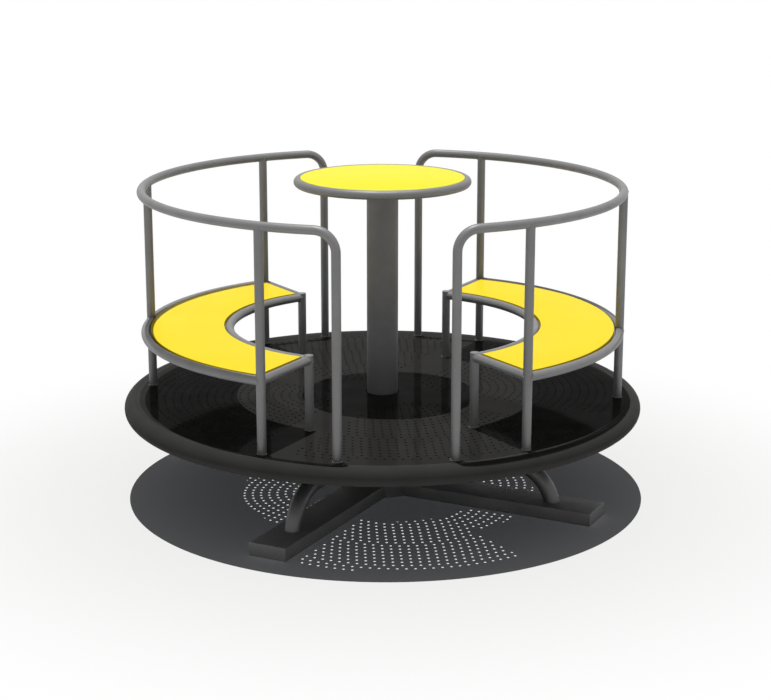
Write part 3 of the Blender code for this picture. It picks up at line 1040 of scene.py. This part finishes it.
class CAROUSEL_OT_seat_boards(bpy.types.Operator):
    """Make the yellow seat boards and the ledges that they lie on"""

    bl_idname = "carousel.seat_boards"
    bl_label = "Seat boards"

    def execute(self, context):
        bend = sizes().board_round
        levels = [(PANEL_BOTTOM, bend), (PANEL_BOTTOM + bend, 0.0), ((PANEL_BOTTOM + PANEL_TOP) / 2, 0.0)]
        for step in range(5):
            turn = math.radians(90.0 * step / 4)
            levels.append((PANEL_TOP - bend * (1 - math.sin(turn)), bend * (1 - math.cos(turn))))
        for side, axis in BENCHES:
            outlines = [board_outline(axis, height, inset) for height, inset in levels]
            board = stacked(f"{side}_seat_board", outlines, seat_plastic())
            settle(board, "platform", "yellow_panel", f"{side}_seat_panel")
            height = PANEL_BOTTOM - LEDGE_GAP
            outer = board_outline(axis, height, -sizes().board_gap)
            inner = board_outline(axis, height, LEDGE_WIDTH)
            ledge = flat_frame(f"{side}_seat_ledge", outer, inner, LEDGE_THICKNESS, grey_coat())
            settle(ledge, "platform", "grey_coating")
        return {"FINISHED"}


# Table


class CAROUSEL_OT_table(bpy.types.Operator):
    """Make the table: its tube ring, its board and its column"""

    bl_idname = "carousel.table"
    bl_label = "Table"

    def execute(self, context):
        grey = grey_coat()
        route = arc(TABLE_RING_RADIUS, 0.0, 357.5, TABLE_RING_HEIGHT, 2.5)
        ring = tubes("table_tube_ring", [route], TABLE_TUBE_RADIUS, grey, closed=True)
        settle(ring, "base", "grey_coating", "table_ring")
        board = turned("table_board", self.board_profile(), lit_table_plastic(), sides=160)
        settle(board, "base", "yellow_panel", "table_top")
        column = turned("table_pole", self.column_profile(), shaded_column_coat(), sides=96)
        settle(column, "base", "grey_coating", "table_column")
        return {"FINISHED"}

    def board_profile(self):
        """From the middle of the top, over the edge that follows the ring, to the middle of the underside."""
        bend = sizes().board_round
        gap = sizes().table_gap
        profile = [(0.0, TABLE_TOP)]
        for step in range(5):
            turn = math.radians(90.0 * step / 4)
            height = TABLE_TOP - bend * (1 - math.cos(turn))
            reach = TABLE_RING_RADIUS - tube_half_width(height, TABLE_RING_HEIGHT, TABLE_TUBE_RADIUS + gap)
            profile.append((reach - bend * (1 - math.sin(turn)), height))
        for step in range(1, 5):
            height = TABLE_TOP - bend - (TABLE_TOP - bend - TABLE_BOARD_BOTTOM) * step / 4
            reach = TABLE_RING_RADIUS - tube_half_width(height, TABLE_RING_HEIGHT, TABLE_TUBE_RADIUS + gap)
            profile.append((reach, height))
        profile.append((0.0, TABLE_BOARD_BOTTOM))
        return profile

    def column_profile(self):
        bead = 0.004
        return [
            (0.0, COLUMN_TOP),
            (COLUMN_RADIUS + bead, COLUMN_TOP),
            (COLUMN_RADIUS + bead * 0.45, COLUMN_TOP - bead * 0.45),
            (COLUMN_RADIUS, COLUMN_TOP - bead),
            (COLUMN_RADIUS, COLUMN_BOTTOM),
            (0.0, COLUMN_BOTTOM),
        ]


# Base


def stay_route(degrees):
    """A quarter bend that rises out of a beam, then a level stretch into the drum."""
    steps = 24
    points = []
    for step in range(steps + 1):
        turn = math.pi / 2 * step / steps
        inwards = STAY_BEND_RADIUS * (1 - math.cos(turn))
        height = STAY_BEND_CENTRE_HEIGHT + STAY_BEND_RADIUS * math.sin(turn)
        points.append(polar(STAY_REACH - inwards, degrees, height))
    points.append(polar(DRUM_RADIUS - 0.02, degrees, points[-1].z))
    return points


def stay_foot(degrees):
    """Where a stay's centre line comes through its beam's top."""
    rise = BEAM_HEIGHT - STAY_BEND_CENTRE_HEIGHT
    inwards = STAY_BEND_RADIUS - math.sqrt(STAY_BEND_RADIUS**2 - rise**2)
    return polar(STAY_REACH - inwards, degrees, BEAM_HEIGHT)


def beam_outline(reach, degrees, shrink=0.0, corner=0.004):
    """The rounded square end of a beam, at a distance from the middle."""
    half = BEAM_WIDTH / 2 - shrink
    low, high = shrink, BEAM_HEIGHT - shrink
    out = polar(1.0, degrees)
    side = Vector((-out.y, out.x, 0.0))
    points = []
    corners = ((half - corner, high - corner, 0), (-half + corner, high - corner, 90),
               (-half + corner, low + corner, 180), (half - corner, low + corner, 270))
    for across, height, start in corners:
        for step in range(5):
            turn = math.radians(start + 90.0 * step / 4)
            points.append(
                out * reach
                + side * (across + corner * math.cos(turn))
                + Vector((0, 0, height + corner * math.sin(turn)))
            )
    return points


class CAROUSEL_OT_base(bpy.types.Operator):
    """Make the cross of beams, the bent stays and the drum"""

    bl_idname = "carousel.base"
    bl_label = "Base"

    def execute(self, context):
        for number, degrees in enumerate(BEAM_ANGLES, 1):
            end = BEAM_LENGTH_FROM_CENTRE
            cap = 0.004
            outlines = [
                beam_outline(DRUM_RADIUS - 0.03, degrees),
                beam_outline(end - cap - 0.0015, degrees),
                beam_outline(end - cap - 0.0010, degrees, 0.0006),
                beam_outline(end - cap - 0.0004, degrees, 0.0006),
                beam_outline(end - cap, degrees),
                beam_outline(end - 0.0008, degrees),
                beam_outline(end, degrees, 0.0008),
            ]
            beam = stacked(f"cross_beam_{number}", outlines, lit_beam_coat())
            settle(beam, "base", "base_coating", f"base_beam_{number}")
            stay = tubes(f"bent_stay_{number}", [stay_route(degrees)], STAY_TUBE_RADIUS, stay_coat())
            settle(stay, "base", "base_coating", f"base_stay_{number}")
        drum = turned("centre_drum", self.drum_profile(), stay_coat(), sides=96)
        settle(drum, "base", "base_coating", "base_drum")
        return {"FINISHED"}

    def drum_profile(self):
        lip = 0.003
        return [
            (0.0, DRUM_TOP),
            (DRUM_RADIUS - lip, DRUM_TOP),
            (DRUM_RADIUS, DRUM_TOP - lip),
            (DRUM_RADIUS, 0.0),
            (0.0, 0.0),
        ]


class CAROUSEL_OT_welds(bpy.types.Operator):
    """Run the weld beads round every joint of the tubes"""

    bl_idname = "carousel.welds"
    bl_label = "Welds"

    def execute(self, context):
        up = Vector((0, 0, 1))
        moving = []
        for _, axis in BENCHES:
            for degrees in (-RAIL_END_ANGLE, -SEAT_END_ANGLE, OUTER_POST_ANGLE, SEAT_END_ANGLE, RAIL_END_ANGLE):
                moving.append(ring_route(polar(RING_RADIUS, axis + degrees, DECK_TOP + 0.0005), TUBE_RADIUS))
            for degrees in (-SEAT_END_ANGLE, OUTER_POST_ANGLE, SEAT_END_ANGLE):
                head = polar(RING_RADIUS, axis + degrees, RAIL_HEIGHT)
                tangent = polar(1.0, axis + degrees + 90.0)
                moving.append(saddle(head, -up, tangent, TUBE_RADIUS, TUBE_RADIUS))
            ring = polar(RING_RADIUS, axis + OUTER_POST_ANGLE, SEAT_HEIGHT)
            tangent = polar(1.0, axis + OUTER_POST_ANGLE + 90.0)
            moving.append(saddle(ring, up, tangent, TUBE_RADIUS, TUBE_RADIUS))
            moving.append(saddle(ring, -up, tangent, TUBE_RADIUS, TUBE_RADIUS))
            for sign in (-1, 1):
                degrees = axis + sign * SEAT_END_ANGLE
                along = polar(1.0, degrees - sign * 90.0)
                near = polar(INNER_RADIUS, degrees + LEG_TURN, SEAT_HEIGHT)
                far = polar(RING_RADIUS, degrees, SEAT_HEIGHT)
                out = (far - near).normalized()
                moving.append(saddle(near, out, up, TUBE_RADIUS, TUBE_RADIUS))
                moving.append(saddle(near, along, up, TUBE_RADIUS, TUBE_RADIUS))
                moving.append(saddle(far, -out, up, TUBE_RADIUS, TUBE_RADIUS))
                moving.append(saddle(far, along, up, TUBE_RADIUS, TUBE_RADIUS))
                moving.append(ring_route(Vector((near.x, near.y, DECK_TOP + 0.0005)), TUBE_RADIUS))
        settle(beads("frame_welds", moving, grey_coat()), "platform", "grey_coating")
        still = []
        for degrees in BEAM_ANGLES:
            still.append(ring_route(stay_foot(degrees), STAY_TUBE_RADIUS))
            height = stay_route(degrees)[-1].z
            out = polar(1.0, degrees)
            still.append(saddle(Vector((0, 0, height)), out, up, STAY_TUBE_RADIUS, DRUM_RADIUS))
        settle(beads("base_welds", still, stay_coat()), "base", "base_coating")
        return {"FINISHED"}


class CAROUSEL_OT_bolts(bpy.types.Operator):
    """Put the bolt heads under the straps of the seats and under the hub"""

    bl_idname = "carousel.bolts"
    bl_label = "Bolts"

    def execute(self, context):
        strap_heads = [
            polar(radius, axis + degrees, CARRIER_BOTTOM)
            for _, axis in BENCHES
            for degrees in BOLT_ANGLES
            for radius in STRAP_BOLT_RADII
        ]
        self.place("strap_bolts", strap_heads, "grey_coating", grey_coat())
        count = 8
        hub_heads = [polar(HUB_BOLT_RADIUS, 360.0 * i / count + 22.5, HUB_BOTTOM) for i in range(count)]
        self.place("hub_bolts", hub_heads, "black_coating", black_coat())
        return {"FINISHED"}

    def place(self, name, places, slot, material):
        points = bpy.data.meshes.new(name + "_points")
        points.from_pydata(places, [], [])
        values = {"Head radius": 0.0075, "Head height": 0.004, "Material": material}
        settle(grow(name, points, bolt_growth(), values), "platform", slot)


class CAROUSEL_OT_plain_steel(bpy.types.Operator):
    """Give the solids that stay in view their coats"""

    bl_idname = "carousel.plain_steel"
    bl_label = "Coats of the solids"

    def execute(self, context):
        for name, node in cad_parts.items():
            if node.hide_render:
                continue
            grey = name.startswith(("table", "left", "right"))
            for slot in node.material_slots:
                slot.material = grey_coat() if grey else black_coat()
        return {"FINISHED"}


# Stage


class CAROUSEL_OT_stage(bpy.types.Operator):
    """Set the pale floor, the soft studio light and the camera"""

    bl_idname = "carousel.stage"
    bl_label = "Stage"

    def execute(self, context):
        context.scene.view_settings.view_transform = "Standard"
        self.floor(context)
        self.world(context)
        self.sun(context)
        self.camera(context)
        return {"FINISHED"}

    def floor(self, context):
        shape = bmesh.new()
        bmesh.ops.create_circle(shape, cap_ends=True, segments=128, radius=60.0)
        mesh = bpy.data.meshes.new("studio_floor")
        shape.to_mesh(mesh)
        shape.free()
        floor = bpy.data.objects.new("studio_floor", mesh)
        context.scene.collection.objects.link(floor)
        made = Shading("studio_floor")
        paint = made.shader
        paint.inputs["Base Color"].default_value = (*finishes().floor, 1.0)
        paint.inputs["Roughness"].default_value = 0.9
        paint.inputs["Specular IOR Level"].default_value = 0.0
        # Between 1 m and 2.3 m from the middle the floor turns into a glowing white backdrop; the darker floor
        # left near the carousel stands for painted shade round it.
        distance = made.add("ShaderNodeVectorMath", operation="LENGTH")
        made.link(made.place, distance.inputs[0])
        fade = made.add("ShaderNodeMapRange", interpolation_type="SMOOTHSTEP")
        fade.inputs["From Min"].default_value = 1.0
        fade.inputs["From Max"].default_value = 2.3
        made.link(distance.outputs["Value"], fade.inputs["Value"])
        # Painted fill light: a faint blue glow of the floor, which lifts and tints the shade under the deck.
        paint.inputs["Emission Color"].default_value = (0.88, 0.93, 1.06, 1.0)
        paint.inputs["Emission Strength"].default_value = FLOOR_GLOW
        white = made.add("ShaderNodeEmission")
        blend = made.add("ShaderNodeMixShader")
        made.link(fade.outputs[0], blend.inputs["Fac"])
        made.link(paint.outputs[0], blend.inputs[1])
        made.link(white.outputs[0], blend.inputs[2])
        output = made.tree.nodes["Material Output"]
        made.link(blend.outputs[0], output.inputs["Surface"])
        mesh.materials.append(made.material)

    def world(self, context):
        world = bpy.data.worlds.new("studio")
        world.use_nodes = True
        context.scene.world = world
        nodes, links = world.node_tree.nodes, world.node_tree.links
        background = nodes["Background"]
        background.inputs["Color"].default_value = (1.0, 1.0, 1.0, 1.0)
        ray = nodes.new("ShaderNodeLightPath")
        share = nodes.new("ShaderNodeMapRange")
        share.inputs["To Min"].default_value = 1.0
        share.inputs["To Max"].default_value = SKY_STRENGTH
        links.new(ray.outputs["Is Diffuse Ray"], share.inputs["Value"])
        links.new(share.outputs[0], background.inputs["Strength"])

    def sun(self, context):
        light = bpy.data.lights.new("overhead_light", "SUN")
        light.energy = SUN_STRENGTH
        light.angle = math.radians(0.25)
        sun = bpy.data.objects.new("overhead_light", light)
        context.scene.collection.objects.link(sun)
        lean = Matrix.Rotation(math.radians(-BENCH_TURN), 3, "Z") @ Vector((*SUN_LEAN, -1.0))
        sun.rotation_mode = "QUATERNION"
        sun.rotation_quaternion = lean.to_track_quat("-Z", "Y")
        sun.location = (0, 0, 5)

    def camera(self, context):
        lens = bpy.data.cameras.new("photo_camera")
        lens.sensor_width = 36.0
        lens.lens = CAMERA_FOCAL_PIXELS * lens.sensor_width / PHOTO_WIDTH
        lens.shift_x = (PHOTO_WIDTH / 2 - CAMERA_CENTRE_PIXELS[0]) / PHOTO_WIDTH
        lens.shift_y = (CAMERA_CENTRE_PIXELS[1] - PHOTO_HEIGHT / 2) / PHOTO_WIDTH
        lens.clip_end = 200.0
        camera = bpy.data.objects.new("photo_camera", lens)
        context.scene.collection.objects.link(camera)
        turn = Matrix.Rotation(math.radians(-BENCH_TURN), 4, "Z")
        tilt = Matrix.Rotation(math.radians(90.0 - CAMERA_PITCH), 4, "X")
        place = Matrix.Translation((0.0, -CAMERA_DISTANCE, CAMERA_HEIGHT))
        camera.matrix_world = turn @ place @ tilt
        context.scene.camera = camera


OPERATORS = (
    CAROUSEL_OT_deck,
    CAROUSEL_OT_rim,
    CAROUSEL_OT_rails,
    CAROUSEL_OT_seat_frames,
    CAROUSEL_OT_seat_boards,
    CAROUSEL_OT_table,
    CAROUSEL_OT_base,
    CAROUSEL_OT_welds,
    CAROUSEL_OT_bolts,
    CAROUSEL_OT_plain_steel,
    CAROUSEL_OT_stage,
)


class CAROUSEL_PT_build(bpy.types.Panel):
    """Lists the steps and the values in the 3D view's sidebar"""

    bl_idname = "CAROUSEL_PT_build"
    bl_label = "Carousel"
    bl_space_type = "VIEW_3D"
    bl_region_type = "UI"
    bl_category = "Carousel"

    def draw(self, context):
        for group in (context.scene.carousel_sizes, context.scene.carousel_finishes):
            for name in group.__annotations__:
                self.layout.prop(group, name)
        for operator in OPERATORS:
            self.layout.operator(operator.bl_idname)


CLASSES = (CarouselSizes, CarouselFinishes, *OPERATORS, CAROUSEL_PT_build)


def register():
    for made in CLASSES:
        bpy.utils.register_class(made)
    bpy.types.Scene.carousel_sizes = bpy.props.PointerProperty(type=CarouselSizes)
    bpy.types.Scene.carousel_finishes = bpy.props.PointerProperty(type=CarouselFinishes)


def unregister():
    del bpy.types.Scene.carousel_finishes
    del bpy.types.Scene.carousel_sizes
    for made in reversed(CLASSES):
        bpy.utils.unregister_class(made)


def main():
    register()
    for operator in OPERATORS:
        group, name = operator.bl_idname.split(".")
        getattr(getattr(bpy.ops, group), name)()
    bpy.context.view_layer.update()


if __name__ == "__main__":
    main()
